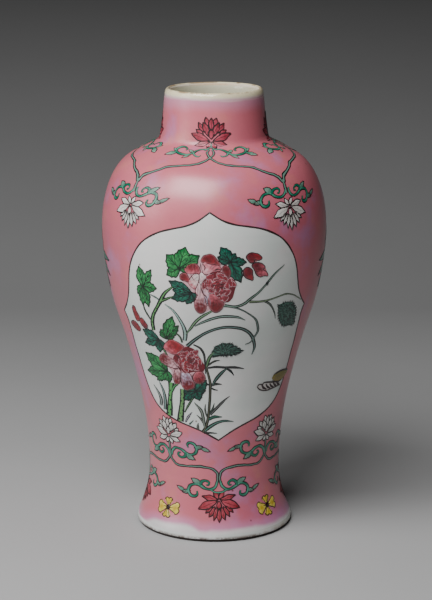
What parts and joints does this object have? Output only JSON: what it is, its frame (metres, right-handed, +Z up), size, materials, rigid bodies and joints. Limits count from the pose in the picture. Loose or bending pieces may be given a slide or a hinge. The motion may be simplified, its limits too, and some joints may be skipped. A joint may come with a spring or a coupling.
{
  "type": "porcelain vase",
  "caption": "Baluster porcelain vase with a waisted foot, wide shoulder and short neck; rose enamel ground, reserved flower panels and scrolling lotus borders; holds cut flowers.",
  "frame": {"origin": "centre of the foot ring's resting face, on the vase's own axis", "axes": "+Z up along the vase's axis, out of the mouth; -Y towards the middle of the front panel; +X to the right as seen from the front"},
  "size_m": [0.1312, 0.131, 0.26],
  "materials": {
    "porcelain_paste": "unglazed biscuit, smooth, slightly dusty",
    "luting_slip": "unglazed, wiped smooth",
    "clear_glaze": "clear glossy glaze over white paste, faint grey-green tone",
    "rose_enamel": "opaque glossy rose enamel, brushed unevenly",
    "drawn_line_enamel": "dark brown drawn line, satin",
    "peony_enamel": "glossy pink and crimson enamel, raised",
    "peony_heart_enamel": "glossy deep red enamel with dark drawn veins, raised",
    "leaf_enamel": "glossy translucent green enamel, raised",
    "grass_enamel": "glossy olive and turquoise enamel, raised",
    "seed_head_enamel": "dark blue-green enamel, raised",
    "bird_enamel": "yellow and brown enamel, raised",
    "red_lotus_enamel": "iron red enamel, raised",
    "white_lotus_enamel": "opaque white enamel with dark outline, raised",
    "vine_enamel": "pale green enamel with dark outline, raised",
    "scroll_enamel": "glossy emerald enamel with dark outline, raised",
    "yellow_enamel": "opaque yellow enamel, raised"
  },
  "bodies": {
    "root": {"lower_body": "porcelain_paste", "body_seam_slip": "luting_slip", "upper_body": "porcelain_paste", "neck_seam_slip": "luting_slip", "neck": "porcelain_paste", "outside_glaze": "clear_glaze", "inside_glaze": "clear_glaze", "base_glaze": "clear_glaze", "rose_ground": "rose_enamel", "front_panel_border": "drawn_line_enamel", "front_peonies": "peony_enamel", "front_peony_hearts": "peony_heart_enamel", "front_leaves": "leaf_enamel", "front_stems_and_grass": "grass_enamel", "front_seed_heads": "seed_head_enamel", "front_bird": "bird_enamel", "back_panel_border": "drawn_line_enamel", "back_peonies": "peony_enamel", "back_peony_hearts": "peony_heart_enamel", "back_leaves": "leaf_enamel", "back_stems_and_grass": "grass_enamel", "back_seed_heads": "seed_head_enamel", "back_bird": "bird_enamel", "shoulder_rose_lotuses": "red_lotus_enamel", "shoulder_white_lotuses": "white_lotus_enamel", "shoulder_vine": "vine_enamel", "shoulder_scrolls": "scroll_enamel", "foot_white_lotuses": "white_lotus_enamel", "foot_rose_lotuses": "red_lotus_enamel", "foot_vine": "vine_enamel", "foot_scrolls": "scroll_enamel", "yellow_florets": "yellow_enamel", "side_sprigs": "scroll_enamel"}
  },
  "joints": []
}
